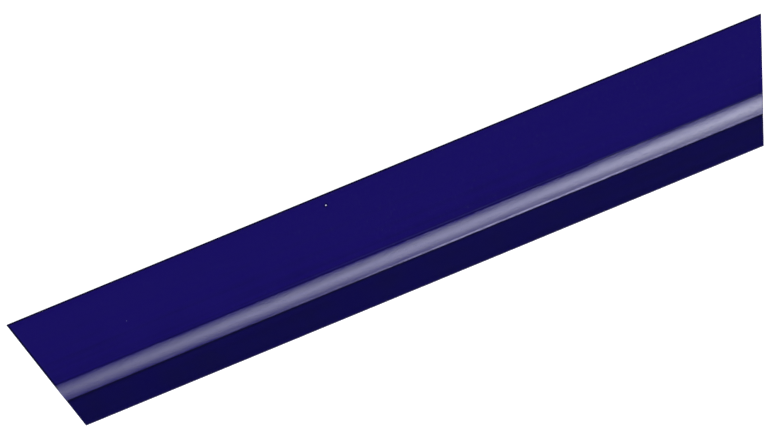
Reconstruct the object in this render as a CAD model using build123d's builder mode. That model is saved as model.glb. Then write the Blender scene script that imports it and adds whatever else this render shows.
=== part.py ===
from build123d import *
import math
import os

# A slim hand applicator for laying vinyl film: a long two-piece holder with angled ends grips a
# replaceable polyurethane blade.  Millimetres.  X runs along the blade, +Y points from the working
# edge to the spine, +Z is the front face.  The origin is the middle of the footprint, on the back
# face, so the tool lies flat on its back.

# ---- driving dimensions ------------------------------------------------------------------------
# outline, seen from the front
spine_length = 330.0
overall_width = 50.0
overall_thickness = 12.0
left_end_angle = 15.9       # both end cuts are measured from square and lean inwards
right_end_angle = 21.1      # towards the working edge

# blade
blade_exposure = 12.2       # how far the blade stands out of the holder
blade_height = 22.0         # from the working edge to the root
blade_thickness = 4.0
tip_thickness = 1.0
tip_radius = 0.25
front_taper_angle = 2.5     # front of the exposed part, the bevel on the back takes up the rest
bead_width = 3.2            # thickened rib along the root that the holder locks on to
bead_proud = 0.6
blade_gap = 0.06            # between the blade and the closed jaws

# holder section
nose_width = 7.7            # rounded strip between the flat face and the lip
crease_angle = 9.0          # the nose leaves the flat face at this slope
nose_end_angle = 36.0       # and ends at this slope, at the lip
lip_thickness = 1.0
lip_radius = 0.9
crease_radius = 0.5
spine_radius = 0.3
end_radius = 0.3            # softened rim of the angled ends
ridge_inset_left = 1.2      # hair-fine raised line beside the crease, a little askew
ridge_inset_right = 0.45
ridge_width = 0.6
ridge_height = 0.03
ridge_root = 0.5

# stiffening bar, let into both jaws along the spine
bar_width = 6.0
bar_thickness = 4.0
bar_share_in_back = 1.0     # the bar's depth in the back jaw
bar_end_inset = 14.0        # from the spine's corners
bar_gap = 0.15
spine_wall = 3.0

# M4 button-head clamp screws with plain washers and heat-set inserts
screw_count = 5
screw_end_margin = 24.0
thread_diameter = 3.9
thread_engagement = 4.7     # past the parting plane, an 8 mm screw in all
head_diameter = 7.6
head_height = 2.2
head_top_diameter = 4.4
dome_fullness = 0.88        # where the head's dome rounds over, as a share of its width
dome_drop = 0.42            # and of its height, from the top
socket_across_flats = 2.5
socket_depth = 1.3
tip_chamfer = 0.4
head_recess = 0.25          # how far the head stays below the back face
head_lift = 0.03            # running gap between the turning head and its washer
washer_diameter = 8.0
washer_bore = 4.3
washer_thickness = 0.5
pocket_side_gap = 0.4
pocket_chamfer = 0.4
clearance_hole = 4.4
insert_diameter = 5.6
insert_length = 4.7
insert_bore = 4.02
insert_groove_width = 1.1
insert_groove_depth = 0.3
insert_lead = 0.3
tip_room = 0.3              # drilled on past the screw's end

# dowels that keep the jaws in line
dowel_diameter = 3.0
dowel_end_margin = 9.5
dowel_in_front = 4.5
dowel_in_back = 3.4
dowel_side_gap = 0.06
dowel_end_room = 0.4
dowel_chamfer = 0.4

# ---- worked-out sizes --------------------------------------------------------------------------
spine_y = overall_width / 2
edge_y = -overall_width / 2
lip_y = edge_y + blade_exposure
crease_y = lip_y + nose_width
root_y = edge_y + blade_height
pocket_end_y = root_y + blade_gap

slope = math.radians
nose_radius = nose_width / (math.sin(slope(nose_end_angle)) - math.sin(slope(crease_angle)))
front_drop = nose_radius * (math.cos(slope(crease_angle)) - math.cos(slope(nose_end_angle)))
face_z = overall_thickness - ridge_height
ridge_y = crease_y + (ridge_inset_left + ridge_inset_right) / 2
ridge_slant = (ridge_inset_left - ridge_inset_right) / spine_length
lip_z = face_z - front_drop
parting_z = lip_z - lip_thickness - blade_gap - blade_thickness / 2
back_lip_z = parting_z - blade_thickness / 2 - blade_gap - lip_thickness

bar_y = spine_y - spine_wall - bar_width / 2
bar_low_z = parting_z - bar_share_in_back
bar_high_z = bar_low_z + bar_thickness
bar_length = spine_length - 2 * bar_end_inset

screw_y = (pocket_end_y + bar_y - bar_width / 2 - bar_gap) / 2
pocket_diameter = washer_diameter + 2 * pocket_side_gap
washer_z = head_recess + head_height + head_lift
seat_z = washer_z + washer_thickness
screw_tip_z = parting_z + thread_engagement


def left_end_x(y):
    """Where the left end cut crosses a line along the tool."""
    return -spine_length / 2 + (spine_y - y) * math.tan(slope(left_end_angle))


def right_end_x(y):
    """Where the right end cut crosses a line along the tool."""
    return spine_length / 2 - (spine_y - y) * math.tan(slope(right_end_angle))


first_screw_x = left_end_x(screw_y) + screw_end_margin
last_screw_x = right_end_x(screw_y) - screw_end_margin
screw_pitch = (last_screw_x - first_screw_x) / (screw_count - 1)
screw_places = [(first_screw_x + step * screw_pitch, screw_y) for step in range(screw_count)]
dowel_places = [
    (left_end_x(screw_y) + dowel_end_margin, screw_y),
    (right_end_x(screw_y) - dowel_end_margin, screw_y),
]


# ---- shared shapes -----------------------------------------------------------------------------
facing_end = 0.8            # a normal points along the tool at least this much on an end face
same_height = 0.01          # two heights closer than this are the same plane


def trim_to_outline():
    """Cuts the piece being built to the whole tool's outline, with its angled ends."""
    with BuildSketch(Plane.XY) as outline:
        with BuildLine():
            Polyline(
                (left_end_x(spine_y), spine_y),
                (right_end_x(spine_y), spine_y),
                (right_end_x(edge_y), edge_y),
                (left_end_x(edge_y), edge_y),
                close=True,
            )
        make_face()
    extrude(outline.sketch, amount=overall_thickness, mode=Mode.INTERSECT)


def blade_section(gap=0.0):
    """The blade across its length: a beaded root, a flat web and a tapered, exposed edge."""
    half = blade_thickness / 2
    bead_half = half + bead_proud
    bead_y = root_y - bead_width
    front_tip_z = parting_z + half - blade_exposure * math.tan(slope(front_taper_angle))
    back_tip_z = front_tip_z - tip_thickness
    with BuildSketch(Plane.YZ) as section:
        with BuildLine():
            Polyline(
                (edge_y, front_tip_z),
                (lip_y, parting_z + half),
                (bead_y - bead_proud, parting_z + half),
                (bead_y, parting_z + bead_half),
                (root_y - bead_proud, parting_z + bead_half),
                (root_y, parting_z + half),
                (root_y, parting_z - half),
                (root_y - bead_proud, parting_z - bead_half),
                (bead_y, parting_z - bead_half),
                (bead_y - bead_proud, parting_z - half),
                (lip_y, parting_z - half),
                (edge_y, back_tip_z),
                close=True,
            )
        make_face()
        if gap > 0:
            offset(amount=gap, kind=Kind.INTERSECTION)
        else:
            fillet(section.vertices().group_by(Axis.X)[0], radius=tip_radius)
    return section.sketch


def cut_blade_channel():
    """Cuts the channel that the blade's root slides in."""
    extrude(blade_section(blade_gap), amount=spine_length / 2, both=True, mode=Mode.SUBTRACT)


def nose_arc(outer_z, drop, inwards):
    """The crowned nose from the crease to the lip: inwards is -1 on the front and +1 on the back.
    A nose that drops less starts and ends flatter, in the same proportion as the front one."""
    mean = math.atan2(drop, nose_width)
    start = mean * crease_angle / ((crease_angle + nose_end_angle) / 2)
    end = 2 * mean - start
    radius = nose_width / (math.sin(end) - math.sin(start))
    middle = (start + end) / 2
    return ThreePointArc(
        (crease_y, outer_z),
        (
            crease_y - radius * (math.sin(middle) - math.sin(start)),
            outer_z + inwards * radius * (math.cos(start) - math.cos(middle)),
        ),
        (lip_y, outer_z + inwards * drop),
    )


def corner(sketch, y, z):
    """The corner of a section nearest to a point."""
    return sketch.vertices().sort_by_distance((y, z))[0]


def end_rim(part):
    """The edges round both angled ends, all but the ones that close on the other jaw."""
    end_faces = part.faces().filter_by(lambda face: abs(face.normal_at().X) > facing_end)
    return end_faces.edges().filter_by(
        lambda edge: abs(edge.position_at(0.5).Z - parting_z) > same_height
    )


# ---- front shell: flat face, crowned nose and lip ----------------------------------------------
with BuildPart() as front_shell:
    with BuildSketch(Plane.YZ) as front_section:
        with BuildLine():
            Polyline(
                (lip_y, lip_z),
                (lip_y, parting_z),
                (spine_y, parting_z),
                (spine_y, face_z),
                (crease_y, face_z),
            )
            nose_arc(face_z, front_drop, -1)
        make_face()
        fillet(corner(front_section, crease_y, face_z), radius=crease_radius)
        fillet(corner(front_section, spine_y, face_z), radius=spine_radius)
        fillet(corner(front_section, lip_y, lip_z), radius=lip_radius)
    extrude(amount=spine_length / 2, both=True)
    trim_to_outline()
    fillet(end_rim(front_shell), radius=end_radius)
    # raised line beside the crease, rooted in the face and stopping at the softened ends
    ridge_start_x = left_end_x(crease_y) + end_radius
    ridge_length = right_end_x(crease_y) - end_radius - ridge_start_x
    ridge_start_y = ridge_y - ridge_slant * ridge_start_x
    with BuildSketch(Plane.YZ.offset(ridge_start_x)) as ridge_section:
        with BuildLine():
            Polyline(
                (ridge_start_y - ridge_width / 2, face_z - ridge_root),
                (ridge_start_y - ridge_width / 2, face_z),
                (ridge_start_y, overall_thickness),
                (ridge_start_y + ridge_width / 2, face_z),
                (ridge_start_y + ridge_width / 2, face_z - ridge_root),
                close=True,
            )
        make_face()
    extrude(ridge_section.sketch, amount=ridge_length, dir=(1, -ridge_slant, 0))
    cut_blade_channel()
    # groove for the stiffening bar
    with BuildSketch(Plane.XY.offset(bar_high_z)):
        with Locations((0, bar_y)):
            Rectangle(bar_length, bar_width)
    extrude(amount=parting_z - bar_high_z, mode=Mode.SUBTRACT)
    # blind holes for the inserts, the screws' ends and the dowels
    with BuildSketch(Plane.XY.offset(parting_z)):
        with Locations(*screw_places):
            Circle(insert_diameter / 2)
    extrude(amount=insert_length, mode=Mode.SUBTRACT)
    with BuildSketch(Plane.XY.offset(parting_z)):
        with Locations(*screw_places):
            Circle(insert_bore / 2)
    extrude(amount=screw_tip_z + tip_room - parting_z, mode=Mode.SUBTRACT)
    with BuildSketch(Plane.XY.offset(parting_z)):
        with Locations(*dowel_places):
            Circle(dowel_diameter / 2)
    extrude(amount=dowel_in_front, mode=Mode.SUBTRACT)
front_shell.part.label = "front_shell"

# ---- back jaw: clamps the blade from behind and hides the screws in pockets --------------------
with BuildPart() as back_jaw:
    with BuildSketch(Plane.YZ) as back_section:
        with BuildLine():
            Polyline(
                (lip_y, back_lip_z),
                (lip_y, parting_z),
                (spine_y, parting_z),
                (spine_y, 0),
                (crease_y, 0),
            )
            nose_arc(0, back_lip_z, 1)
        make_face()
        fillet(corner(back_section, spine_y, 0), radius=spine_radius)
        fillet(corner(back_section, lip_y, back_lip_z), radius=lip_radius)
    extrude(amount=spine_length / 2, both=True)
    trim_to_outline()
    fillet(end_rim(back_jaw), radius=end_radius)
    cut_blade_channel()
    # groove for the stiffening bar, with room on all sides
    with BuildSketch(Plane.XY.offset(bar_low_z - bar_gap)):
        with Locations((0, bar_y)):
            Rectangle(bar_length + 2 * bar_gap, bar_width + 2 * bar_gap)
    extrude(amount=bar_share_in_back + bar_gap, mode=Mode.SUBTRACT)
    # screw pockets and clearance holes
    with Locations(*[Plane(origin=(x, y, 0), z_dir=(0, 0, -1)) for x, y in screw_places]):
        CounterBoreHole(
            radius=clearance_hole / 2,
            counter_bore_radius=pocket_diameter / 2,
            counter_bore_depth=seat_z,
        )
    circles = back_jaw.edges().filter_by(GeomType.CIRCLE)
    pocket_rims = circles.filter_by_position(Axis.Z, -same_height, same_height)
    chamfer(pocket_rims, length=pocket_chamfer)
    # blind holes for the dowels
    with BuildSketch(Plane.XY.offset(parting_z)):
        with Locations(*dowel_places):
            Circle(dowel_diameter / 2 + dowel_side_gap)
    extrude(amount=-(dowel_in_back + dowel_end_room), mode=Mode.SUBTRACT)
back_jaw.part.label = "back_jaw"

# ---- blade -------------------------------------------------------------------------------------
with BuildPart() as blade:
    extrude(blade_section(), amount=spine_length / 2, both=True)
    trim_to_outline()
blade.part.label = "blade"

# ---- stiffening bar ----------------------------------------------------------------------------
with BuildPart() as spine_bar:
    with BuildSketch(Plane.XY.offset(bar_low_z)):
        with Locations((0, bar_y)):
            Rectangle(bar_length, bar_width)
    extrude(amount=bar_thickness)
spine_bar.part.label = "spine_bar"

os.makedirs("parts", exist_ok=True)
for piece in (front_shell, back_jaw, blade, spine_bar):
    export_step(piece.part, f"parts/{piece.part.label}.step")

# ---- threaded inserts, washers and clamp screws, one of each at every screw place ----------------
for number, (x, y) in enumerate(screw_places, start=1):
    with BuildPart() as insert:
        with BuildSketch(Plane(origin=(x, y, parting_z))):
            Circle(insert_diameter / 2)
            Circle(insert_bore / 2, mode=Mode.SUBTRACT)
        extrude(amount=insert_length)
        groove_z = parting_z + (insert_length - insert_groove_width) / 2
        with BuildSketch(Plane(origin=(x, y, groove_z))):
            Circle(insert_diameter / 2)
            Circle(insert_diameter / 2 - insert_groove_depth, mode=Mode.SUBTRACT)
        extrude(amount=insert_groove_width, mode=Mode.SUBTRACT)
        lead_edge = insert.edges().group_by(Axis.Z)[-1].sort_by(SortBy.RADIUS)[-1]
        chamfer(lead_edge, length=insert_lead)
    insert.part.label = f"insert_{number}"
    export_step(insert.part, f"parts/insert_{number}.step")

    with BuildPart() as washer:
        with BuildSketch(Plane(origin=(x, y, washer_z))):
            Circle(washer_diameter / 2)
            Circle(washer_bore / 2, mode=Mode.SUBTRACT)
        extrude(amount=washer_thickness)
    washer.part.label = f"washer_{number}"
    export_step(washer.part, f"parts/washer_{number}.step")

    with BuildPart() as clamp_screw:
        head_under_z = head_recess + head_height
        with BuildSketch(Plane(origin=(x, y, 0), x_dir=(1, 0, 0), z_dir=(0, -1, 0))):
            with BuildLine():
                Polyline(
                    (head_top_diameter / 2, head_recess),
                    (0, head_recess),
                    (0, screw_tip_z),
                    (thread_diameter / 2 - tip_chamfer, screw_tip_z),
                    (thread_diameter / 2, screw_tip_z - tip_chamfer),
                    (thread_diameter / 2, head_under_z),
                    (head_diameter / 2, head_under_z),
                )
                # domed side of the button head
                ThreePointArc(
                    (head_diameter / 2, head_under_z),
                    (dome_fullness * head_diameter / 2, head_recess + dome_drop * head_height),
                    (head_top_diameter / 2, head_recess),
                )
            make_face()
        revolve(axis=Axis((x, y, 0), (0, 0, 1)))
        with BuildSketch(Plane(origin=(x, y, head_recess))):
            RegularPolygon(socket_across_flats / 2, 6, major_radius=False)
        extrude(amount=socket_depth, mode=Mode.SUBTRACT)
    clamp_screw.part.label = f"clamp_screw_{number}"
    export_step(clamp_screw.part, f"parts/clamp_screw_{number}.step")

# ---- dowels ------------------------------------------------------------------------------------
for side, (x, y) in zip(("left", "right"), dowel_places):
    with BuildPart() as dowel:
        with BuildSketch(Plane(origin=(x, y, parting_z - dowel_in_back))):
            Circle(dowel_diameter / 2)
        extrude(amount=dowel_in_back + dowel_in_front)
        chamfer(dowel.edges().filter_by(GeomType.CIRCLE), length=dowel_chamfer)
    dowel.part.label = f"dowel_{side}"
    export_step(dowel.part, f"parts/dowel_{side}.step")

print(f"nose drop {front_drop:.2f}, lip at {lip_z:.2f}, parting plane at {parting_z:.2f}")
print(f"back lip at {back_lip_z:.2f}, screw row at y {screw_y:.2f}, pitch {screw_pitch:.2f}")
print(f"screw {screw_tip_z - head_recess - head_height:.2f} long under its head")
print(f"screw end at {screw_tip_z:.2f}, working edge {right_end_x(edge_y) - left_end_x(edge_y):.1f} long")
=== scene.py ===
# %% [markdown]
# # A squeegee applicator for vinyl film
#
# This hand tool is a long two-part holder of dark blue plastic that clamps a thin polyurethane blade.
# The frame brings its exact solids. The small metal parts are kept as they are and get their real
# finishes. The three long parts that an eye meets first, the front shell, the back jaw and the blade,
# are modelled again with a finely rounded nose, a worn lip and softened cut ends.

# %% Load the frame
import bpy
import math
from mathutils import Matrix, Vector


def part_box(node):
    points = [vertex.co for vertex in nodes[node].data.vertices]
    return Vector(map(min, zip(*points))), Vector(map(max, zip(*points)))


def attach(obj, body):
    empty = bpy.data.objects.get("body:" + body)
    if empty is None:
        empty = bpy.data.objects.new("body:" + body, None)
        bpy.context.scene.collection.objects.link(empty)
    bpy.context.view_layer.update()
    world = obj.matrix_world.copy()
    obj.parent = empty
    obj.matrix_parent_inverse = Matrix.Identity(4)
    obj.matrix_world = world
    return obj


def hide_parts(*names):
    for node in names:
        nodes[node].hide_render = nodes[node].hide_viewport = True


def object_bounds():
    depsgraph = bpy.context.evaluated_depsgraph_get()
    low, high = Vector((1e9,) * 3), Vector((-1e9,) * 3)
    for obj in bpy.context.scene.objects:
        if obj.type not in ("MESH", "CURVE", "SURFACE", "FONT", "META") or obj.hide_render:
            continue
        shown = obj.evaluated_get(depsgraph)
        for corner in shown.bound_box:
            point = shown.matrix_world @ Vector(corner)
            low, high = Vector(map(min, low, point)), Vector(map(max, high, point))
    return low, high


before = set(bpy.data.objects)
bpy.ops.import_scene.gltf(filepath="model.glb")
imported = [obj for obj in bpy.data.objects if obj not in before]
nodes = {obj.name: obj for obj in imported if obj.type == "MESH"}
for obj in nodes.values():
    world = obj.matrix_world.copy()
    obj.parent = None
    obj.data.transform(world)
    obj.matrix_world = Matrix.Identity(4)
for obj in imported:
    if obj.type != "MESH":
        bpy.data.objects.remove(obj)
cad_low, cad_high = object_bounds()
scene = bpy.context.scene
print("nodes in the frame:", len(nodes))

# %% [markdown]
# ## Sizes
#
# Every place is read from the frame, so the new pieces land where the old ones stood. Boxes can't tell
# the shape of a section, so the few sizes that draw it are named here: the slopes of the nose, the
# blade's taper and root, and the clearances. Working from a short list of names keeps the three
# sections in step, because the channel in both jaws follows the blade.

# %% Places from the frame, sizes of the section
MM = 0.001
shell_low, shell_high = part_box("front_shell")
jaw_low, jaw_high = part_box("back_jaw")
blade_low, blade_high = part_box("blade")

SPINE_LENGTH = 330 * MM
SAW_WASTE = 5 * MM
START_X = -SPINE_LENGTH / 2 - SAW_WASTE
SPINE_Y = shell_high[1]
LIP_Y = shell_low[1]
EDGE_Y = blade_low[1]
ROOT_Y = blade_high[1]
PARTING_Z = shell_low[2]
LEFT_END_ANGLE = math.radians(15.9)
RIGHT_END_ANGLE = math.radians(21.1)

NOSE_WIDTH = 7.7 * MM
CREASE_Y = LIP_Y + NOSE_WIDTH
CREASE_SLOPE = math.radians(9)
LIP_SLOPE = math.radians(36)
LIP_THICKNESS = 1.0 * MM
LIP_RADIUS = 0.9 * MM
SPINE_RADIUS = 0.3 * MM
END_RADIUS = 0.3 * MM
RIDGE_INSET_LEFT = 1.2 * MM
RIDGE_INSET_RIGHT = 0.45 * MM
RIDGE_SLANT = (RIDGE_INSET_LEFT - RIDGE_INSET_RIGHT) / SPINE_LENGTH
RIDGE_WIDTH = 0.6 * MM
RIDGE_HEIGHT = 0.03 * MM
FACE_Z = shell_high[2] - RIDGE_HEIGHT

BLADE_HALF = 2.0 * MM
TIP_THICKNESS = 1.0 * MM
TIP_RADIUS = 0.25 * MM
TAPER = math.radians(2.5)
BEAD_PROUD = 0.6 * MM
BEAD_WIDTH = 3.2 * MM
BLADE_GAP = 0.06 * MM
BEAD_Y = ROOT_Y - BEAD_WIDTH
CHANNEL_HALF = BLADE_HALF + BLADE_GAP
BEVEL_GAP = BLADE_GAP * math.tan(math.radians(22.5))
print("lip at", round(LIP_Y / MM, 2), "parting plane at", round(PARTING_Z / MM, 2))

# %% [markdown]
# ## Drawing a section point by point
#
# A plastics extruder pushes the material through a slot, so the part is one section drawn out along a
# line. The same is done here: a plane is merged into a single point, the point is extruded along each
# side of the section, and spun where the side is an arc. The closed outline is filled and extruded.
# Spinning keeps the nose a true arc with as many steps as wanted.

# %% Helpers: start, walk, spin and fill
MERGE_WITHIN = 0.001 * MM
SAME_PLACE = 0.002 * MM


def deselect():
    """Leaves nothing selected, so that an operator acts on the new piece alone."""
    bpy.ops.object.select_all(action="DESELECT")


def start_point(name, y, z):
    """A new object whose mesh is one selected point, in edit mode."""
    deselect()
    bpy.ops.mesh.primitive_plane_add(size=MM, location=(0, 0, 0))
    piece = bpy.context.object
    piece.name = piece.data.name = name
    bpy.ops.object.mode_set(mode="EDIT")
    bpy.ops.mesh.select_mode(type="VERT")
    bpy.ops.mesh.select_all(action="SELECT")
    bpy.ops.mesh.merge(type="CENTER")
    bpy.ops.transform.translate(value=(START_X, y, z))
    return piece


def walk(start, *points):
    """Extrudes the selected point from start through the points of a section."""
    here = Vector(start)
    for point in points:
        step = Vector(point) - here
        move = {"value": (0, step.x, step.y)}
        bpy.ops.mesh.extrude_vertices_move(TRANSFORM_OT_translate=move)
        here = Vector(point)


def spin(angle, center_y, center_z, steps):
    """Spins the selected point about a line along X, over the top towards the lip."""
    center = (START_X, center_y, center_z)
    bpy.ops.mesh.spin(steps=steps, angle=angle, center=center, axis=(-1, 0, 0))


def fill_and_extrude():
    """Closes the outline, fills it and draws it out along X, with some waste past both ends."""
    bpy.ops.mesh.select_all(action="SELECT")
    bpy.ops.mesh.remove_doubles(threshold=MERGE_WITHIN)
    bpy.ops.mesh.edge_face_add()
    bpy.ops.mesh.extrude_region_move(TRANSFORM_OT_translate={"value": (-2 * START_X, 0, 0)})
    bpy.ops.mesh.select_all(action="SELECT")
    bpy.ops.mesh.normals_make_consistent(inside=False)


def pick_edges(piece, test):
    """Selects the edges whose two ends pass a test, leaving edit mode for it and coming back."""
    bpy.ops.mesh.select_all(action="DESELECT")
    bpy.ops.mesh.select_mode(type="EDGE")
    bpy.ops.object.mode_set(mode="OBJECT")
    points = piece.data.vertices
    chosen = 0
    for edge in piece.data.edges:
        ends = [points[index].co for index in edge.vertices]
        edge.select = test(*ends)
        chosen += edge.select
    bpy.ops.object.mode_set(mode="EDIT")
    return chosen


def near(value, target):
    """Two places that are the same for picking edges."""
    return abs(value - target) < SAME_PLACE


# %% [markdown]
# ## Cutting the ends and softening edges
#
# The ends are sawn at two different angles. Bisect does the same: it cuts through the mesh with a
# plane and clears what is outside, and the open outline is filled. The bevel after it breaks the sharp
# rim, as a deburring knife does. Its offset is the length of the tangent, the radius times the tangent
# of half the turn between the two faces.

# %% Helpers: cut the ends, round edges, add cross cuts
def cut_ends():
    """Cuts both ends at their angles."""
    for side, angle in ((-1, LEFT_END_ANGLE), (1, RIGHT_END_ANGLE)):
        bpy.ops.mesh.select_all(action="SELECT")
        bpy.ops.mesh.bisect(
            plane_co=(side * SPINE_LENGTH / 2, SPINE_Y, 0),
            plane_no=(side * math.cos(angle), -math.sin(angle), 0),
            clear_outer=True,
            threshold=0.0005 * MM,
        )
        bpy.ops.mesh.edge_face_add()


def end_distance(point):
    """How far a point stands from the nearer end cut, in metres."""
    left = (point.x + SPINE_LENGTH / 2) * math.cos(LEFT_END_ANGLE)
    left -= (SPINE_Y - point.y) * math.sin(LEFT_END_ANGLE)
    right = (SPINE_LENGTH / 2 - point.x) * math.cos(RIGHT_END_ANGLE)
    right -= (SPINE_Y - point.y) * math.sin(RIGHT_END_ANGLE)
    return min(abs(left), abs(right))


def on_end(a, b):
    """Whether an edge lies in one end cut, unlike a long edge, which only ends in both."""
    touches = end_distance(a) < SAME_PLACE and end_distance(b) < SAME_PLACE
    return touches and abs(a.x - b.x) < SPINE_LENGTH / 2


def on_flat_side(a, b):
    """Whether an edge lies in the lip's flat side or in the spine's, which face along Y."""
    return near(a.y, b.y) and (near(a.y, LIP_Y) or near(a.y, SPINE_Y))


def round_edges(piece, test, radius, turn_degrees, segments, measure="OFFSET"):
    """Bevels the edges that pass a test to a radius."""
    chosen = pick_edges(piece, test)
    offset = radius * math.tan(math.radians(turn_degrees) / 2)
    bpy.ops.mesh.bevel(offset=offset, offset_type=measure, segments=segments, affect="EDGES")
    print(piece.name, "edges rounded:", chosen)


CROSS_CUTS = 150
LARGE_FACES_RULE = 98
SMOOTH_BELOW = math.radians(35)


def add_cross_cuts(piece):
    """Cuts the long strips across, so that wear can follow the length."""
    pick_edges(piece, lambda a, b: abs(a.x - b.x) > SPINE_LENGTH / 2)
    bpy.ops.mesh.subdivide(number_cuts=CROSS_CUTS)


def finish_piece(piece):
    """Points the faces outwards, smooths by angle and lets the large faces rule the normals."""
    deselect()
    piece.select_set(True)
    bpy.context.view_layer.objects.active = piece
    bpy.ops.object.mode_set(mode="EDIT")
    bpy.ops.mesh.select_all(action="SELECT")
    bpy.ops.mesh.remove_doubles(threshold=MERGE_WITHIN)
    bpy.ops.mesh.fill_holes(sides=8)
    bpy.ops.mesh.normals_make_consistent(inside=False)
    bpy.ops.object.mode_set(mode="OBJECT")
    bpy.ops.object.shade_smooth_by_angle(angle=SMOOTH_BELOW)
    modifier = piece.modifiers.new("normals", "WEIGHTED_NORMAL")
    modifier.keep_sharp = True
    modifier.weight = LARGE_FACES_RULE
    modifier.thresh = 0
    bpy.ops.object.modifier_apply(modifier=modifier.name)
    print(piece.name, "faces:", len(piece.data.polygons))


# %% [markdown]
# ## Wear as real shape
#
# A lip that rides over film and rivets for years isn't a ruled line any more. A Displace modifier with
# a cloud texture moves only the points of a vertex group, and only along Y, so the lip waves by a
# tenth of a millimetre and its neighbours stay put.

# %% Helper: worn edge
UNWORN_ENDS = 1 * MM


def wear_edge(piece, test, depth, grain):
    """Leaves edit mode and waves the points that pass a test along Y with a cloud texture."""
    bpy.ops.object.mode_set(mode="OBJECT")
    group = piece.vertex_groups.new(name="worn")
    worn = [v.index for v in piece.data.vertices if test(v.co)]
    group.add(worn, 1.0, "REPLACE")
    clouds = bpy.data.textures.new(piece.name + "_wear", "CLOUDS")
    clouds.noise_scale = grain
    clouds.noise_depth = 3
    modifier = piece.modifiers.new("wear", "DISPLACE")
    modifier.texture = clouds
    modifier.texture_coords = "LOCAL"
    modifier.direction = "Y"
    modifier.vertex_group = group.name
    modifier.strength = depth
    modifier.mid_level = 0.5
    bpy.ops.object.modifier_apply(modifier=modifier.name)
    piece.vertex_groups.remove(piece.vertex_groups["worn"])
    print(piece.name, "worn points:", len(worn))


# %% [markdown]
# ## Holes and pockets
#
# A drilled hole is a cutter taken away from the part. Each cutter starts as a cylinder at the size of
# the piece that goes in, read from that piece's box, and a Boolean modifier subtracts it. The cutters
# of one part are joined first, so the solver runs once.

# %% Helpers: cutters and the cut
def box_middle(name):
    """The middle of a node's box, its size, its lowest and its highest corner."""
    low, high = (Vector(corner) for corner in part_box(name))
    return (low + high) / 2, high - low, low, high


def round_cutter(x, y, bottom, top, diameter):
    """A cylinder from one height to another."""
    deselect()
    middle = (x, y, (bottom + top) / 2)
    bpy.ops.mesh.primitive_cylinder_add(
        vertices=64, radius=diameter / 2, depth=top - bottom, location=middle
    )
    bpy.ops.object.transform_apply(location=True, rotation=False, scale=False)
    return bpy.context.object


def block_cutter(low, high):
    """A block between two corners."""
    deselect()
    bpy.ops.mesh.primitive_cube_add(size=1, location=(low + high) / 2, scale=high - low)
    bpy.ops.object.transform_apply(location=True, rotation=False, scale=True)
    return bpy.context.object


def cut(piece, cutters):
    """Joins the cutters, takes them away from the piece and goes on in edit mode."""
    deselect()
    for cutter in cutters:
        cutter.select_set(True)
    bpy.context.view_layer.objects.active = cutters[0]
    bpy.ops.object.join()
    tool = bpy.context.object
    modifier = piece.modifiers.new("holes", "BOOLEAN")
    modifier.operation = "DIFFERENCE"
    modifier.solver = "EXACT"
    modifier.object = tool
    deselect()
    piece.select_set(True)
    bpy.context.view_layer.objects.active = piece
    bpy.ops.object.modifier_apply(modifier=modifier.name)
    bpy.data.objects.remove(tool)
    bpy.ops.object.mode_set(mode="EDIT")


# %% [markdown]
# ## Front shell
#
# This is the half that the hand holds and the eye sees: a wide flat face with a hair-fine raised line,
# then the crowned nose and the thin lip that presses on the blade. The outline is walked from the
# spine across the face, the nose is spun from the crease to the lip, and the walk goes on along the
# channel for the blade's beaded root and back along the parting plane.

# %% Draw the front shell
nose_radius = NOSE_WIDTH / (math.sin(LIP_SLOPE) - math.sin(CREASE_SLOPE))
center_y = CREASE_Y + nose_radius * math.sin(CREASE_SLOPE)
center_z = FACE_Z - nose_radius * math.cos(CREASE_SLOPE)
lip_z = center_z + nose_radius * math.cos(LIP_SLOPE)
under_lip_z = PARTING_Z + CHANNEL_HALF
bead_roof_z = under_lip_z + BEAD_PROUD
ridge_y = CREASE_Y + (RIDGE_INSET_LEFT + RIDGE_INSET_RIGHT) / 2
ridge_start_y = ridge_y - RIDGE_SLANT * START_X

front = start_point("front_shell_finished", SPINE_Y, FACE_Z)
walk(
    (SPINE_Y, FACE_Z),
    (ridge_start_y + RIDGE_WIDTH / 2, FACE_Z),
    (ridge_start_y, FACE_Z + RIDGE_HEIGHT),
    (ridge_start_y - RIDGE_WIDTH / 2, FACE_Z),
    (CREASE_Y, FACE_Z),
)
spin(LIP_SLOPE - CREASE_SLOPE, center_y, center_z, steps=24)
walk(
    (LIP_Y, lip_z),
    (LIP_Y, under_lip_z),
    (BEAD_Y - BEAD_PROUD - BEVEL_GAP, under_lip_z),
    (BEAD_Y - BEVEL_GAP, bead_roof_z),
    (ROOT_Y - BEAD_PROUD + BEVEL_GAP, bead_roof_z),
    (ROOT_Y + BLADE_GAP, PARTING_Z + BLADE_HALF + BEVEL_GAP),
    (ROOT_Y + BLADE_GAP, PARTING_Z),
    (SPINE_Y, PARTING_Z),
    (SPINE_Y, FACE_Z),
)
fill_and_extrude()


def on_far_ridge(point):
    """Whether a corner belongs to the raised line at the right-hand end of the strip."""
    on_ridge = abs(point.y - ridge_start_y) < 0.51 * RIDGE_WIDTH
    return on_ridge and point.x > 0 and point.z > lip_z


def far_ridge(a, b):
    """The two short edges that draw the raised line at the right-hand end of the strip."""
    return on_far_ridge(a) and on_far_ridge(b)


chosen = pick_edges(front, far_ridge)
bpy.ops.transform.translate(value=(0, 2 * START_X * RIDGE_SLANT, 0))
print("edges moved to set the raised line askew:", chosen, "lip height", round(lip_z / MM, 3))

# %% Round and cut the front shell
def along(y, z):
    """A test for the long edge that runs through one corner of a section."""
    def test(a, b):
        on_line = near(a.y, y) and near(b.y, y) and near(a.z, z) and near(b.z, z)
        return on_line and abs(a.x - b.x) > SPINE_LENGTH / 2
    return test


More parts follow.
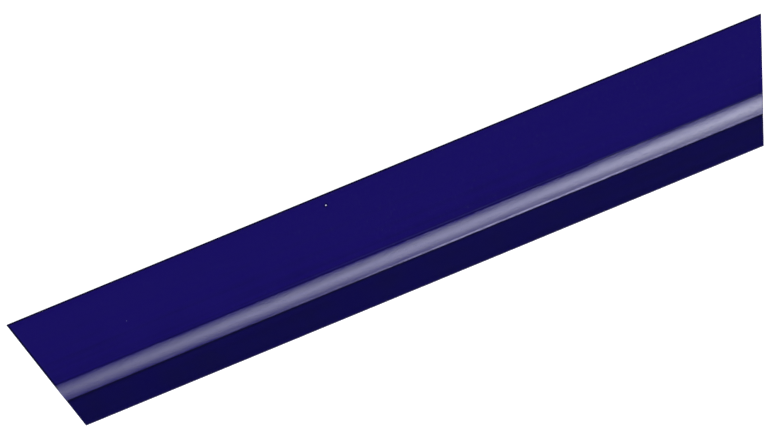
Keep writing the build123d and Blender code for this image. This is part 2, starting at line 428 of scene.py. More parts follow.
round_edges(front, along(LIP_Y, lip_z), LIP_RADIUS, 90 - math.degrees(LIP_SLOPE), 6)
round_edges(front, along(SPINE_Y, FACE_Z), SPINE_RADIUS, 90, 6)
cut_ends()
bpy.ops.object.mode_set(mode="OBJECT")

# %% Drill the front shell
INSERT_BORE = 4.02 * MM
TIP_ROOM = 0.3 * MM
cutters = []
for number in range(1, 6):
    middle, size, low, high = box_middle(f"insert_{number}")
    screw_end = box_middle(f"clamp_screw_{number}")[3].z
    cutters.append(round_cutter(middle.x, middle.y, PARTING_Z - MM, high.z, size.x))
    cutters.append(round_cutter(middle.x, middle.y, high.z - MM, screw_end + TIP_ROOM, INSERT_BORE))
for side in ("left", "right"):
    middle, size, low, high = box_middle(f"dowel_{side}")
    cutters.append(round_cutter(middle.x, middle.y, PARTING_Z - MM, high.z, size.x))
middle, size, low, high = box_middle("spine_bar")
cutters.append(block_cutter(Vector((low.x, low.y, PARTING_Z - MM)), high))
cut(front, cutters)

# %% Break the rims of the front shell and wear its lip
def front_rim(a, b):
    """The outer edges of the end cuts, from the spine over the face to the lip."""
    return on_end(a, b) and (max(a.z, b.z) > bead_roof_z or on_flat_side(a, b))


round_edges(front, front_rim, END_RADIUS, 90, 3, measure="ABSOLUTE")
add_cross_cuts(front)
wear_edge(
    front,
    lambda p: p.y < LIP_Y + 0.8 * MM and p.z > under_lip_z + 0.1 * MM and end_distance(p) > UNWORN_ENDS,
    depth=0.22 * MM,
    grain=3.5 * MM,
)
finish_piece(front)

# %% [markdown]
# ## Back jaw
#
# The jaw mirrors the shell's shape on the other side of the blade, a little thinner, so its nose is
# flatter, with slopes at the crease and the lip in the same proportion as on the front. The screws stand
# in round pockets with a small chamfer, sunk just below the face so that nothing scratches the film.

# %% Draw the back jaw
JAW_LIP_Z = PARTING_Z - CHANNEL_HALF - LIP_THICKNESS
JAW_LOW_Z = jaw_low[2]
mean_slope = math.atan2(JAW_LIP_Z - JAW_LOW_Z, NOSE_WIDTH)
jaw_start = mean_slope * CREASE_SLOPE / ((CREASE_SLOPE + LIP_SLOPE) / 2)
jaw_end = 2 * mean_slope - jaw_start
jaw_radius = NOSE_WIDTH / (math.sin(jaw_end) - math.sin(jaw_start))
jaw_center_y = CREASE_Y + jaw_radius * math.sin(jaw_start)
jaw_center_z = JAW_LOW_Z + jaw_radius * math.cos(jaw_start)
jaw_roof_z = PARTING_Z - CHANNEL_HALF
jaw_bead_z = jaw_roof_z - BEAD_PROUD

jaw = start_point("back_jaw_finished", SPINE_Y, JAW_LOW_Z)
walk((SPINE_Y, JAW_LOW_Z), (CREASE_Y, JAW_LOW_Z))
spin(jaw_start - jaw_end, jaw_center_y, jaw_center_z, steps=20)
walk(
    (LIP_Y, JAW_LIP_Z),
    (LIP_Y, jaw_roof_z),
    (BEAD_Y - BEAD_PROUD - BEVEL_GAP, jaw_roof_z),
    (BEAD_Y - BEVEL_GAP, jaw_bead_z),
    (ROOT_Y - BEAD_PROUD + BEVEL_GAP, jaw_bead_z),
    (ROOT_Y + BLADE_GAP, PARTING_Z - BLADE_HALF - BEVEL_GAP),
    (ROOT_Y + BLADE_GAP, PARTING_Z),
    (SPINE_Y, PARTING_Z),
    (SPINE_Y, JAW_LOW_Z),
)
fill_and_extrude()
round_edges(jaw, along(LIP_Y, JAW_LIP_Z), LIP_RADIUS, 90 - math.degrees(jaw_end), 6)
round_edges(jaw, along(SPINE_Y, JAW_LOW_Z), SPINE_RADIUS, 90, 6)
cut_ends()
bpy.ops.object.mode_set(mode="OBJECT")

# %% Sink the pockets into the back jaw
POCKET_GAP = 0.4 * MM
POCKET_CHAMFER = 0.4 * MM
CLEARANCE_HOLE = 4.4 * MM
BAR_GAP = 0.15 * MM
DOWEL_GAP = 0.06 * MM
DOWEL_TIP_ROOM = 0.4 * MM


def pocket_cutter(number):
    """A cylinder for a screw pocket, flared where it leaves the face."""
    middle, size, low, high = box_middle(f"washer_{number}")
    radius = size.x / 2 + POCKET_GAP
    floor_z = JAW_LOW_Z + POCKET_CHAMFER
    cutter = round_cutter(middle.x, middle.y, floor_z, high.z, 2 * radius)
    bpy.ops.object.mode_set(mode="EDIT")
    bpy.ops.mesh.select_all(action="DESELECT")
    bpy.ops.mesh.select_mode(type="FACE")
    bpy.ops.object.mode_set(mode="OBJECT")
    for face in cutter.data.polygons:
        face.select = face.normal.z < -0.9
    bpy.ops.object.mode_set(mode="EDIT")
    bpy.ops.mesh.extrude_region_move(TRANSFORM_OT_translate={"value": (0, 0, -2 * POCKET_CHAMFER)})
    flare = (radius + 2 * POCKET_CHAMFER) / radius
    bpy.ops.transform.resize(value=(flare, flare, 1), center_override=(middle.x, middle.y, 0))
    bpy.ops.object.mode_set(mode="OBJECT")
    return cutter


cutters = []
for number in range(1, 6):
    cutters.append(pocket_cutter(number))
    middle, size, low, high = box_middle(f"washer_{number}")
    cutters.append(round_cutter(middle.x, middle.y, high.z - MM, PARTING_Z + MM, CLEARANCE_HOLE))
for side in ("left", "right"):
    middle, size, low, high = box_middle(f"dowel_{side}")
    bottom = low.z - DOWEL_TIP_ROOM
    cutters.append(round_cutter(middle.x, middle.y, bottom, PARTING_Z + MM, size.x + 2 * DOWEL_GAP))
middle, size, low, high = box_middle("spine_bar")
room = Vector((BAR_GAP, BAR_GAP, BAR_GAP))
cutters.append(block_cutter(low - room, Vector((high.x, high.y, PARTING_Z + MM)) + room))
cut(jaw, cutters)


def jaw_rim(a, b):
    """The outer edges of the jaw's end cuts."""
    return on_end(a, b) and (min(a.z, b.z) < jaw_bead_z or on_flat_side(a, b))


round_edges(jaw, jaw_rim, END_RADIUS, 90, 3, measure="ABSOLUTE")
bpy.ops.object.mode_set(mode="OBJECT")
finish_piece(jaw)

# %% [markdown]
# ## Blade
#
# The blade is a strip of cast polyurethane. Its root has a bead on both sides that locks into the
# jaws, the web between them is flat, and the exposed part tapers to a one millimetre edge. Cast strip
# is cut to length with a plain knife, so its ends stay sharp, and the working edge has tiny nicks.

# %% Draw the blade
front_tip_z = PARTING_Z + BLADE_HALF - (LIP_Y - EDGE_Y) * math.tan(TAPER)
back_tip_z = front_tip_z - TIP_THICKNESS
blade = start_point("blade_finished", EDGE_Y, front_tip_z)
walk(
    (EDGE_Y, front_tip_z),
    (LIP_Y, PARTING_Z + BLADE_HALF),
    (BEAD_Y - BEAD_PROUD, PARTING_Z + BLADE_HALF),
    (BEAD_Y, PARTING_Z + BLADE_HALF + BEAD_PROUD),
    (ROOT_Y - BEAD_PROUD, PARTING_Z + BLADE_HALF + BEAD_PROUD),
    (ROOT_Y, PARTING_Z + BLADE_HALF),
    (ROOT_Y, PARTING_Z - BLADE_HALF),
    (ROOT_Y - BEAD_PROUD, PARTING_Z - BLADE_HALF - BEAD_PROUD),
    (BEAD_Y, PARTING_Z - BLADE_HALF - BEAD_PROUD),
    (BEAD_Y - BEAD_PROUD, PARTING_Z - BLADE_HALF),
    (LIP_Y, PARTING_Z - BLADE_HALF),
    (EDGE_Y, back_tip_z),
    (EDGE_Y, front_tip_z),
)
fill_and_extrude()
round_edges(blade, along(EDGE_Y, front_tip_z), TIP_RADIUS, 90, 5)
round_edges(blade, along(EDGE_Y, back_tip_z), TIP_RADIUS, 90, 5)
cut_ends()
add_cross_cuts(blade)
wear_edge(
    blade,
    lambda p: p.y < EDGE_Y + 0.35 * MM and end_distance(p) > UNWORN_ENDS,
    depth=0.08 * MM,
    grain=2.5 * MM,
)
finish_piece(blade)

# %% The new pieces stand for the frame's solids
for piece, node, body, slot in (
    (front, "front_shell", "holder", "holder_blue"),
    (jaw, "back_jaw", "back_jaw", "holder_blue"),
    (blade, "blade", "blade", "blade_blue"),
):
    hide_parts(node)
    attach(piece, body)
    print(piece.name, "stands for", node)

# %% [markdown]
# ## Building finishes from nodes
#
# A finish is a small recipe: a base colour, how rough it is, and a relief too fine to model. The
# patterns read Object coordinates, so they stay on the piece when it moves. These helpers keep each
# recipe readable: a value that comes from another node is linked, and a plain number is set on the
# socket itself.

# %% Helpers: nodes
class Finish:
    """A material with its Principled shader and a few short ways to add nodes."""

    def __init__(self, name):
        self.material = bpy.data.materials.new(name)
        self.material.use_nodes = True
        self.tree = self.material.node_tree
        self.shader = self.tree.nodes["Principled BSDF"]
        coordinates = self.tree.nodes.new("ShaderNodeTexCoord")
        self.place = coordinates.outputs["Object"]

    def feed(self, socket, value):
        """Links a socket to another node's output, or sets a plain number or colour on it."""
        if isinstance(value, bpy.types.NodeSocket):
            self.tree.links.new(value, socket)
        elif isinstance(value, tuple) and len(value) == 3 and socket.type == "RGBA":
            socket.default_value = (*value, 1)
        else:
            socket.default_value = value

    def set(self, name, value):
        """Feeds one socket of the shader."""
        self.feed(self.shader.inputs[name], value)

    def node(self, kind, output, **inputs):
        """Adds a node, feeds its inputs by name and gives back one output."""
        node = self.tree.nodes.new(kind)
        for name, value in inputs.items():
            self.feed(node.inputs[name.replace("_", " ")], value)
        return node.outputs[output]

    def math(self, operation, *values):
        """One step of arithmetic."""
        node = self.tree.nodes.new("ShaderNodeMath")
        node.operation = operation
        for socket, value in zip(node.inputs, values):
            self.feed(socket, value)
        return node.outputs["Value"]

    def axes(self):
        """The place on the piece as separate x, y and z."""
        node = self.tree.nodes.new("ShaderNodeSeparateXYZ")
        self.feed(node.inputs["Vector"], self.place)
        return node.outputs["X"], node.outputs["Y"], node.outputs["Z"]

    def stretched(self, x, y, z):
        """The place with its axes scaled, which stretches a pattern along the small ones."""
        node = self.tree.nodes.new("ShaderNodeMapping")
        self.feed(node.inputs["Vector"], self.place)
        node.inputs["Scale"].default_value = (x, y, z)
        return node.outputs["Vector"]

    def noise(self, vector, scale, detail=3.0):
        """Smooth noise from 0 to 1."""
        return self.node("ShaderNodeTexNoise", "Fac", Vector=vector, Scale=scale, Detail=detail)

    def step(self, value, low, high, at_low=0.0, at_high=1.0):
        """A soft step: at_low up to low, at_high from high on."""
        node = self.tree.nodes.new("ShaderNodeMapRange")
        node.interpolation_type = "SMOOTHSTEP"
        limits = {"From Min": low, "From Max": high, "To Min": at_low, "To Max": at_high}
        for name, number in limits.items():
            node.inputs[name].default_value = number
        self.feed(node.inputs["Value"], value)
        return node.outputs["Result"]

    def band(self, value, middle, half_width):
        """1 on a line and 0 beyond half_width from it."""
        away = self.math("ABSOLUTE", self.math("SUBTRACT", value, middle))
        return self.step(away, 0.0, half_width, 1.0, 0.0)

    def mix(self, share, first, second):
        """Two colours blended by a share."""
        node = self.tree.nodes.new("ShaderNodeMix")
        node.data_type = "RGBA"
        self.feed(node.inputs[0], share)
        self.feed(node.inputs[6], first)
        self.feed(node.inputs[7], second)
        return node.outputs[2]

    def relief(self, height, depth, normal=None):
        """A fine relief of a real depth in metres, on top of an earlier one."""
        node = self.tree.nodes.new("ShaderNodeBump")
        node.inputs["Strength"].default_value = 1.0
        node.inputs["Distance"].default_value = depth
        self.feed(node.inputs["Height"], height)
        if normal is not None:
            self.feed(node.inputs["Normal"], normal)
        return node.outputs["Normal"]


def dress(piece, finish):
    """Gives a piece one finish all over."""
    piece.data.materials.clear()
    piece.data.materials.append(finish.material)


# %% [markdown]
# ## Dark blue holder plastic
#
# The holder is a solid-coloured plastic with the gloss that a die leaves. Close up it is never one
# blue: the melt streaks along the length, the die leaves hair-fine lines, and handling adds dust and
# small pale nicks. Painted shade darkens the face towards the crease, against the raised line, in the
# crease and on the rims of the spine and the left cut. Painted highlights lie along the lip and the
# raised line, and the lip is rubbed duller. The cut ends show the saw's strokes.

# %% Holder plastic
PLASTIC_IOR = 1.5
HOLDER_BLUE = (0.0034, 0.0006, 0.0760)
HOLDER_DEEP = (0.0022, 0.0003, 0.0590)
LIP_HIGHLIGHT_PALE = (0.2100, 0.2030, 0.3400)
RIDGE_HIGHLIGHT_BLUE = (0.0850, 0.0880, 0.1200)
DUST_GREY = (0.3000, 0.2900, 0.4200)
SHADE_AND_DIRT_BLUE = (0.0010, 0.0005, 0.0200)
SAWN_BLUE = (0.0120, 0.0080, 0.1200)
NICK_WHITE = (0.5500, 0.5500, 0.7000)
NICK_X = -27.1 * MM
NICK_Y = 20.4 * MM


def sawn_ends(finish):
    """1 on the cut ends, 0 elsewhere, from the way the surface faces."""
    geometry = finish.tree.nodes.new("ShaderNodeNewGeometry")
    turn = finish.tree.nodes.new("ShaderNodeVectorTransform")
    turn.vector_type = "NORMAL"
    turn.convert_from = "WORLD"
    turn.convert_to = "OBJECT"
    finish.feed(turn.inputs["Vector"], geometry.outputs["True Normal"])
    parts = finish.tree.nodes.new("ShaderNodeSeparateXYZ")
    finish.feed(parts.inputs["Vector"], turn.outputs["Vector"])
    return finish.step(finish.math("ABSOLUTE", parts.outputs["X"]), 0.75, 0.9)


def make_holder_plastic():
    """The holder's plastic, for the front shell and the back jaw."""
    finish = Finish("holder_blue_plastic")
    x, y, z = finish.axes()
    streaks = finish.noise(finish.stretched(6, 420, 420), 1.0, 4.0)
    mottle = finish.noise(finish.place, 55.0, 3.0)
    blend = finish.math("MULTIPLY_ADD", finish.math("SUBTRACT", streaks, 0.5), 1.3, 0.5)
    blend = finish.math("MULTIPLY_ADD", finish.math("SUBTRACT", mottle, 0.5), 0.5, blend)
    # painted shade: the face is darkened a little towards the crease, where the light falls off
    blend = finish.math("ADD", blend, finish.step(y, -3 * MM, 9 * MM, 0.22, 0.0))
    blend = finish.step(blend, 0.52, 1.05, 0.0, 0.85)
    color = finish.mix(blend, HOLDER_BLUE, HOLDER_DEEP)

    # painted shade on the spine side of the raised line, and in the crease before the nose
    ridge_way = finish.math("MULTIPLY_ADD", x, RIDGE_SLANT, y)
    ridge_shade = finish.band(ridge_way, ridge_y + 0.4 * MM, 0.45 * MM)
    crease_shade = finish.band(y, CREASE_Y + 0.15 * MM, 0.45 * MM)
    painted_shade = finish.math("MAXIMUM", finish.math("MULTIPLY", ridge_shade, 0.4), crease_shade)
    on_front = finish.step(z, PARTING_Z + 5 * MM, PARTING_Z + 6 * MM)
    painted_shade = finish.math("MULTIPLY", painted_shade, on_front)
    color = finish.mix(finish.math("MULTIPLY", painted_shade, 0.6), color, SHADE_AND_DIRT_BLUE)

    # painted shade: the rounded spine edge and the left cut are darkened, as edges turned away from the
    # light
    from_corner = finish.math("ADD", x, SPINE_LENGTH / 2)
    left_cut = finish.math("MULTIPLY", from_corner, math.cos(LEFT_END_ANGLE))
    spine_way = finish.math("SUBTRACT", SPINE_Y, y)
    lean = finish.math("MULTIPLY", spine_way, math.sin(LEFT_END_ANGLE))
    left_cut = finish.math("SUBTRACT", left_cut, lean)
    rim = finish.math("MINIMUM", spine_way, left_cut)
    rim = finish.step(rim, 0.4 * MM, 1.2 * MM, 1.0, 0.0)
    rim = finish.math("MULTIPLY", rim, finish.step(z, FACE_Z - 0.5 * MM, FACE_Z - 0.25 * MM))
    color = finish.mix(finish.math("MULTIPLY", rim, 0.95), color, SHADE_AND_DIRT_BLUE)

    # painted highlight on the lip's edge, in patches, strongest right of the middle where the light is
    # stronger; the same mask dulls the gloss there as rubbing wear
    patches = finish.step(finish.noise(finish.stretched(240, 500, 500), 1.0, 4.0), 0.35, 0.6, 0.55, 1.0)
    rightwards = finish.step(x, -100 * MM, 20 * MM, 0.05, 1.0)
    lip_line = finish.step(y, LIP_Y + 0.35 * MM, LIP_Y + 0.9 * MM, 1.0, 0.0)
    right_of_middle = finish.math("MULTIPLY", finish.band(x, 52 * MM, 100 * MM), 0.7)
    amount = finish.math("MULTIPLY_ADD", rightwards, 0.35, right_of_middle)
    lip_highlight_and_rub = finish.math("MULTIPLY", finish.math("MULTIPLY", lip_line, patches), amount)
    lip_highlight_and_rub = finish.math("MULTIPLY", lip_highlight_and_rub, finish.step(z, lip_z - 0.5 * MM, lip_z - 0.1 * MM))
    # painted highlight on the lip side of the raised line, stronger to the right
    ridge_highlight = finish.math("MULTIPLY", finish.band(ridge_way, ridge_y - 0.15 * MM, 0.4 * MM), rightwards)
    ridge_highlight = finish.math("MULTIPLY", finish.math("MULTIPLY", ridge_highlight, on_front), patches)
    color = finish.mix(finish.math("MULTIPLY", ridge_highlight, 0.10), color, RIDGE_HIGHLIGHT_BLUE)
    color = finish.mix(lip_highlight_and_rub, color, LIP_HIGHLIGHT_PALE)

    # dust and nicks
    cells = finish.tree.nodes.new("ShaderNodeTexVoronoi")
    finish.feed(cells.inputs["Vector"], finish.place)
    cells.inputs["Scale"].default_value = 210.0
    tint = finish.tree.nodes.new("ShaderNodeSeparateColor")
    finish.feed(tint.inputs["Color"], cells.outputs["Color"])
    few = finish.step(tint.outputs["Red"], 0.90, 0.93)
    dots = finish.step(cells.outputs["Distance"], 0.015, 0.035, 1.0, 0.0)
    specks = finish.math("MULTIPLY", dots, few)
    color = finish.mix(finish.math("MULTIPLY", specks, 0.35), color, DUST_GREY)

    # one larger nick near the middle, pale in a darker ring
    away_x = finish.math("SUBTRACT", x, NICK_X)
    away_y = finish.math("SUBTRACT", y, NICK_Y)
    away = finish.math("MULTIPLY_ADD", away_x, away_x, finish.math("MULTIPLY", away_y, away_y))
    away = finish.math("SQRT", away)
    ring = finish.math("MULTIPLY", finish.band(away, 0.7 * MM, 0.5 * MM), on_front)
    nick = finish.math("MULTIPLY", finish.step(away, 0.15 * MM, 0.35 * MM, 1.0, 0.0), on_front)
    color = finish.mix(finish.math("MULTIPLY", ring, 0.7), color, SHADE_AND_DIRT_BLUE)
    color = finish.mix(finish.math("MULTIPLY", nick, 0.9), color, NICK_WHITE)

    ends = sawn_ends(finish)
    color = finish.mix(finish.math("MULTIPLY", ends, 0.5), color, SAWN_BLUE)
    finish.set("Base Color", color)

    # gloss: a little duller where streaked, dull on the rubbed lip and the sawn ends
    rough = finish.math("MULTIPLY_ADD", streaks, 0.06, 0.15)
    rough = finish.math("ADD", rough, finish.math("MULTIPLY", lip_highlight_and_rub, 0.25))
    rough = finish.math("ADD", rough, finish.math("MULTIPLY", ends, 0.3))
    rough = finish.math("ADD", rough, finish.math("MULTIPLY", specks, 0.3))
    finish.set("Roughness", rough)

    die_lines = finish.noise(finish.stretched(3, 3800, 3800), 1.0, 2.0)
    grain = finish.noise(finish.place, 5200.0, 2.0)
    saw_strokes = finish.math("MULTIPLY", finish.noise(finish.stretched(200, 500, 5200), 1.0, 2.0), ends)
    waves = finish.noise(finish.stretched(35, 140, 140), 1.0, 2.0)
    ripples = finish.noise(finish.stretched(90, 380, 380), 1.0, 3.0)
    ripples = finish.math("MULTIPLY", ripples, finish.step(y, CREASE_Y, CREASE_Y + 2 * MM, 1.0, 0.3))
    pits = finish.step(finish.noise(finish.stretched(900, 1500, 1500), 1.0, 1.0), 0.30, 0.40)
    groove = finish.math("MULTIPLY", finish.band(y, LIP_Y + 1.15 * MM, 0.3 * MM), rightwards)
    normal = finish.relief(waves, 0.012 * MM)
    normal = finish.relief(ripples, 0.075 * MM, normal)
    normal = finish.relief(pits, 0.015 * MM, normal)
    normal = finish.relief(finish.math("MULTIPLY", groove, -1.0), 0.006 * MM, normal)
    normal = finish.relief(die_lines, 0.0009 * MM, normal)
    normal = finish.relief(grain, 0.0009 * MM, normal)
    normal = finish.relief(saw_strokes, 0.03 * MM, normal)
    finish.set("Normal", normal)
    finish.set("IOR", PLASTIC_IOR)
    return finish


holder_plastic = make_holder_plastic()
dress(front, holder_plastic)
dress(jaw, holder_plastic)
print("holder nodes:", len(holder_plastic.tree.nodes))

# %% [markdown]
# ## Blade polyurethane
#
# Cast polyurethane is darker and a little waxier than the holder. Its skin carries the mould's fine
# grain, a painted shadow as a dark line where it leaves the lip, a greyed working edge and knife marks
# on the ends.

# %% Blade polyurethane
BLADE_BLUE = (0.0010, 0.0002, 0.0400)
BLADE_DEEP = (0.0007, 0.0001, 0.0315)
BLADE_LIP_SHADOW = (0.0003, 0.0001, 0.0150)
EDGE_GREY = (0.0035, 0.0025, 0.0350)
CUT_BLUE = (0.0060, 0.0035, 0.0700)


def make_blade_rubber():
    """The blade's cast polyurethane."""
    finish = Finish("blade_blue_polyurethane")
    x, y, z = finish.axes()
    streaks = finish.noise(finish.stretched(8, 500, 500), 1.0, 4.0)
    mottle = finish.noise(finish.place, 90.0, 4.0)
    blend = finish.math("MULTIPLY_ADD", finish.math("SUBTRACT", streaks, 0.5), 0.9, mottle)
    color = finish.mix(finish.step(blend, 0.4, 0.8), BLADE_BLUE, BLADE_DEEP)
    # painted shadow: a dark line on the blade just below the lip
    painted_shade = finish.step(y, LIP_Y - 1.1 * MM, LIP_Y - 0.35 * MM)
    uneven = finish.step(finish.noise(finish.stretched(40, 200, 200), 1.0, 3.0), 0.3, 0.6, 0.75, 1.0)
    color = finish.mix(finish.math("MULTIPLY", painted_shade, uneven), color, BLADE_LIP_SHADOW)
    worn = finish.step(y, EDGE_Y + 0.15 * MM, EDGE_Y + 0.6 * MM, 1.0, 0.0)
    patches = finish.step(finish.noise(finish.stretched(120, 600, 600), 1.0, 4.0), 0.45, 0.6)
    color = finish.mix(finish.math("MULTIPLY", worn, patches), color, EDGE_GREY)
    ends = sawn_ends(finish)
    color = finish.mix(ends, color, CUT_BLUE)
    finish.set("Base Color", color)
    rough = finish.math("MULTIPLY_ADD", mottle, 0.05, 0.15)
    rough = finish.math("ADD", rough, finish.math("MULTIPLY", worn, 0.15))
    rough = finish.math("ADD", rough, finish.math("MULTIPLY", ends, 0.25))
    finish.set("Roughness", rough)
    grain = finish.noise(finish.place, 4200.0, 3.0)
    drag = finish.noise(finish.stretched(5, 2600, 2600), 1.0, 2.0)
    knife = finish.math("MULTIPLY", finish.noise(finish.stretched(150, 150, 2400), 1.0, 2.0), ends)
    normal = finish.relief(drag, 0.0008 * MM)
    normal = finish.relief(grain, 0.0012 * MM, normal)
    normal = finish.relief(knife, 0.006 * MM, normal)
    finish.set("Normal", normal)
    finish.set("IOR", PLASTIC_IOR)
    return finish


blade_rubber = make_blade_rubber()
dress(blade, blade_rubber)
print("blade nodes:", len(blade_rubber.tree.nodes))

# %% [markdown]
# ## Metal parts
#
# Four finishes serve the seventeen small parts and the bar. The screws and washers are stainless
# steel, cold headed and turned, so their marks run round each screw's own axis. All five stand at one
# pitch, so the pattern wraps x at that pitch and one finish serves them all. The inserts are turned
# brass with a diamond knurl, the bar is extruded aluminium with lines along its length, and the dowels
# are ground.

# %% Metal finishes
screw_middles = [box_middle(f"clamp_screw_{number}")[0] for number in range(1, 6)]
SCREW_PITCH = screw_middles[1].x - screw_middles[0].x
SCREW_STEEL = (0.56, 0.56, 0.57)
DULL_STEEL = (0.36, 0.355, 0.36)
BRASS = (0.72, 0.50, 0.20)
DULL_BRASS = (0.46, 0.30, 0.11)
ALUMINIUM = (0.76, 0.77, 0.79)
DULL_ALUMINIUM = (0.56, 0.57, 0.60)
DOWEL_STEEL = (0.52, 0.52, 0.54)
KNURL_COUNT = 24
KNURL_LEAN = 9000.0


def about_screw(finish):
    """The distance from the nearest screw's axis and the angle round it."""
    x, y, z = finish.axes()
    first = screw_middles[0].x - SCREW_PITCH / 2
    along_x = finish.math("WRAP", x, first, first + SCREW_PITCH)
    away_x = finish.math("SUBTRACT", along_x, screw_middles[0].x)
    away_y = finish.math("SUBTRACT", y, screw_middles[0].y)
    squares = finish.math("MULTIPLY_ADD", away_x, away_x, finish.math("MULTIPLY", away_y, away_y))
    return finish.math("SQRT", squares), finish.math("ARCTAN2", away_y, away_x), z


def make_metal(name, bright, dull, rough, blotch_scale):
    """Metal that is bright and dull in soft blotches."""
    finish = Finish(name)
    finish.shader.inputs["Metallic"].default_value = 1.0
    blotches = finish.step(finish.noise(finish.place, blotch_scale, 4.0), 0.35, 0.7)
    finish.set("Base Color", finish.mix(blotches, bright, dull))
    finish.set("Roughness", finish.math("MULTIPLY_ADD", blotches, 0.15, rough))
    return finish


def make_turned_steel():
    """Stainless steel with turning marks round each screw's axis."""
    finish = make_metal("screw_stainless", SCREW_STEEL, DULL_STEEL, 0.24, 900.0)
    radius, angle, z = about_screw(finish)
    rings = finish.math("SINE", finish.math("MULTIPLY", radius, 26000.0))
    pits = finish.noise(finish.place, 3800.0, 3.0)
    finish.set("Normal", finish.relief(pits, 0.004 * MM, finish.relief(rings, 0.0012 * MM)))
    return finish


def make_knurled_brass():
    """Turned brass with a diamond knurl, two sets of slanted grooves that cross."""
    finish = make_metal("insert_brass", BRASS, DULL_BRASS, 0.26, 700.0)
    radius, angle, z = about_screw(finish)
    turn = finish.math("MULTIPLY", angle, float(KNURL_COUNT))
    lift = finish.math("MULTIPLY", z, KNURL_LEAN)
    left = finish.math("ABSOLUTE", finish.math("SINE", finish.math("ADD", turn, lift)))
    right = finish.math("ABSOLUTE", finish.math("SINE", finish.math("SUBTRACT", turn, lift)))
    finish.set("Normal", finish.relief(finish.math("MINIMUM", left, right), 0.12 * MM))
    return finish


def make_drawn_metal(name, bright, dull, rough, depth):
    """Metal with fine lines along X from the die or the grinding wheel."""
    finish = make_metal(name, bright, dull, rough, 160.0)
    lines = finish.noise(finish.stretched(12, 5200, 5200), 1.0, 3.0)
    finish.set("Normal", finish.relief(lines, depth))
    return finish


turned_steel = make_turned_steel()
knurled_brass = make_knurled_brass()
drawn_aluminium = make_drawn_metal("bar_aluminium", ALUMINIUM, DULL_ALUMINIUM, 0.30, 0.006 * MM)
ground_steel = make_drawn_metal("dowel_ground_steel", DOWEL_STEEL, DULL_STEEL, 0.18, 0.002 * MM)
for name, node in nodes.items():
    if name.startswith(("clamp_screw", "washer")):
        dress(node, turned_steel)
    elif name.startswith("insert"):
        dress(node, knurled_brass)
    elif name.startswith("dowel"):
        dress(node, ground_steel)
    elif name == "spine_bar":
        dress(node, drawn_aluminium)
print("screws, washers, inserts, dowels and bar dressed")

# %% [markdown]
# ## A bright table
#
# The tool lies on a white table that glows a little, as a light table does, so that it renders clean
# white and the tool throws hardly any shadow. It has no shine, which would mirror the lights.

# %% Table
TABLE_GAP = 0.05 * MM
TABLE_GLOW = 0.75
MIRRORED_GLOW = 0.25
TABLE_SIZE = 9.0
TABLE_PALE = (0.50, 0.50, 0.50)
TABLE_DEEP = (0.47, 0.47, 0.47)


deselect()
bpy.ops.mesh.primitive_plane_add(size=TABLE_SIZE, location=(0, 0, cad_low[2] - TABLE_GAP))
bpy.ops.object.transform_apply(location=True, rotation=False, scale=False)
table = bpy.context.object
table.name = table.data.name = "table"
table_white = Finish("table_white")
paper = table_white.noise(table_white.place, 320.0, 3.0)
table_white.set("Base Color", table_white.mix(paper, TABLE_PALE, TABLE_DEEP))
table_white.set("Roughness", 0.9)
table_white.set("Specular IOR Level", 0.0)
table_white.set("Emission Color", (1, 1, 1))
dress(table, table_white)

# the gloss of the tool mirrors the table's glow only in part, which keeps its rims dark
path = table_white.tree.nodes.new("ShaderNodeLightPath")
mirrored = path.outputs["Is Glossy Ray"]
table_white.set("Emission Strength", table_white.step(mirrored, 0.0, 1.0, TABLE_GLOW, MIRRORED_GLOW))

# from below the table lets the eye through, so that the back of the tool can be looked at
facing = table_white.tree.nodes.new("ShaderNodeNewGeometry")
clear = table_white.tree.nodes.new("ShaderNodeBsdfTransparent")
choose = table_white.tree.nodes.new("ShaderNodeMixShader")
from_below = table_white.math("MULTIPLY", facing.outputs["Backfacing"], path.outputs["Is Camera Ray"])
table_white.feed(choose.inputs["Fac"], from_below)
table_white.tree.links.new(table_white.shader.outputs["BSDF"], choose.inputs[1])
table_white.tree.links.new(clear.outputs["BSDF"], choose.inputs[2])
surface = table_white.tree.nodes["Material Output"].inputs["Surface"]
table_white.tree.links.new(choose.outputs["Shader"], surface)

# %% [markdown]
# ## Camera
#
# The camera looks straight down at the front face, turned so that the tool rises to the right. A very
# long lens far away keeps the long edges parallel, as in a catalogue picture.

# %% Camera
ROLL = math.radians(22.43)
AIM = Vector((-7.06 * MM, 7.43 * MM, FACE_Z))
FIELD_WIDTH = 310.3 * MM
LENS = 700.0
SENSOR = 36.0
camera_data = bpy.data.cameras.new("camera")
camera_data.lens = LENS
camera_data.sensor_width = SENSOR
camera_data.clip_end = 50.0
camera = bpy.data.objects.new("camera", camera_data)
scene.collection.objects.link(camera)
camera.location = AIM + Vector((0, 0, FIELD_WIDTH * LENS / SENSOR))
camera.rotation_euler = (0, 0, -ROLL)
scene.camera = camera
scene.view_settings.view_transform = "Standard"
print("camera height", round(camera.location.z, 3))

# %% [markdown]
# ## Light
#
# The flat face must stay dark and even. A large soft light hangs above the tool and brings out the
# blue, and it is kept out of mirror reflections, as a polarising sheet on the lamp does, so that the
# gloss isn't washed out from any side. Two weaker lights stand left and right. One narrow softbox
# stands low in front of the working edge, where only the crowned nose can mirror it. Its glow grows to
# the middle of its height and falls again, and is strongest at the right, which gives the nose its
# soft pale band.

# %% Soft lights
LIGHT_DISTANCE = 1.6


def soft_light(name, direction, watts, size, mirrored):
    """A soft square light aimed at the tool and hidden from the camera."""
    data = bpy.data.lights.new(name, "AREA")
    data.shape = "SQUARE"
    data.size = size
    data.energy = watts
    light = bpy.data.objects.new(name, data)
    scene.collection.objects.link(light)
    away = Vector(direction).normalized()
    light.location = away * LIGHT_DISTANCE
    light.rotation_euler = away.to_track_quat("Z", "Y").to_euler()
    light.visible_camera = False
    light.visible_glossy = mirrored


soft_light("top_light", (0, 0.05, 1), 17, 1.6, mirrored=False)
soft_light("right_light", (1.0, 0.1, 0.9), 12, 1.0, mirrored=True)
soft_light("left_light", (-1.0, 0.1, 0.9), 12, 1.0, mirrored=True)

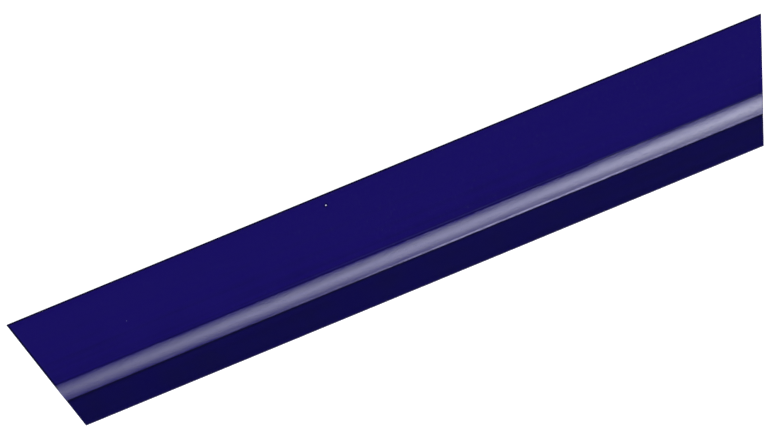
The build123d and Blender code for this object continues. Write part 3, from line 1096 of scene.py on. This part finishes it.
ROOM_GLOW = 0.02
BACKDROP_WHITE = 1.0
world = bpy.data.worlds.new("room")
scene.world = world
world.use_nodes = True
backdrop = world.node_tree.nodes["Background"]
backdrop.inputs["Color"].default_value = (1, 1, 1, 1)
seen_by = world.node_tree.nodes.new("ShaderNodeLightPath")
strength = world.node_tree.nodes.new("ShaderNodeMapRange")
strength.inputs["To Min"].default_value = ROOM_GLOW
strength.inputs["To Max"].default_value = BACKDROP_WHITE
world.node_tree.links.new(seen_by.outputs["Is Camera Ray"], strength.inputs["Value"])
world.node_tree.links.new(strength.outputs["Result"], backdrop.inputs["Strength"])

# %% Softbox
BOX_DISTANCE = 1.2
BOX_MIDDLE = math.radians(41)
BOX_HALF_HEIGHT = BOX_DISTANCE * math.tan(math.radians(27))
BOX_WIDTH = 0.6
SOFTBOX_TINT = (1.0, 1.0, 1.15)
SOFTBOX_BY_ANGLE = (
    (14, 0.0), (18, 0.04), (24, 0.32), (33, 0.70), (43, 1.0), (52, 0.68), (61, 0.36), (67, 0.26),
)
SOFTBOX_BY_PLACE = (
    (-0.3, 1.7), (-0.15, 4.2), (-0.07, 5.5), (0.0, 7.1), (0.08, 5.1), (0.13, 11.2), (0.3, 16.0),
)

deselect()
bpy.ops.mesh.primitive_plane_add(size=1.0, location=(0, 0, 0))
softbox = bpy.context.object
softbox.name = softbox.data.name = "softbox"
towards = Vector((0, -math.sin(BOX_MIDDLE), math.cos(BOX_MIDDLE)))
softbox.scale = (BOX_WIDTH, 2 * BOX_HALF_HEIGHT, 1)
softbox.rotation_euler = (BOX_MIDDLE, 0, 0)
softbox.location = towards * BOX_DISTANCE
bpy.ops.object.transform_apply(location=True, rotation=True, scale=True)
softbox.visible_camera = False
softbox.visible_shadow = False


def glow_curve(finish, value, points):
    """A brightness that follows a few chosen pairs of place and brightness."""
    low, high = points[0][0], points[-1][0]
    top = max(brightness for place, brightness in points)
    node = finish.tree.nodes.new("ShaderNodeMapRange")
    node.inputs["From Min"].default_value = low
    node.inputs["From Max"].default_value = high
    finish.feed(node.inputs["Value"], value)
    ramp = finish.tree.nodes.new("ShaderNodeValToRGB")
    stops = ramp.color_ramp.elements
    for stop, (place, brightness) in zip((stops[0], stops[-1]), (points[0], points[-1])):
        stop.color = (brightness / top, brightness / top, brightness / top, 1)
    for place, brightness in points[1:-1]:
        stop = stops.new((place - low) / (high - low))
        stop.color = (brightness / top, brightness / top, brightness / top, 1)
    finish.feed(ramp.inputs["Fac"], node.outputs["Result"])
    return finish.math("MULTIPLY", ramp.outputs["Color"], top)


glow = Finish("softbox_glow")
x, y, z = glow.axes()
low_angle = glow.math("ARCTAN2", glow.math("MULTIPLY", y, -1.0), z)
degrees = glow.math("MULTIPLY", low_angle, math.degrees(1))
by_angle = glow_curve(glow, degrees, SOFTBOX_BY_ANGLE)
by_place = glow_curve(glow, x, SOFTBOX_BY_PLACE)
glow.set("Emission Strength", glow.math("MULTIPLY", by_angle, by_place))
glow.set("Emission Color", SOFTBOX_TINT)
glow.set("Base Color", (0, 0, 0))
glow.set("Specular IOR Level", 0.0)
glow.set("Roughness", 1.0)
dress(softbox, glow)
print("softbox at", [round(v, 2) for v in towards * BOX_DISTANCE])
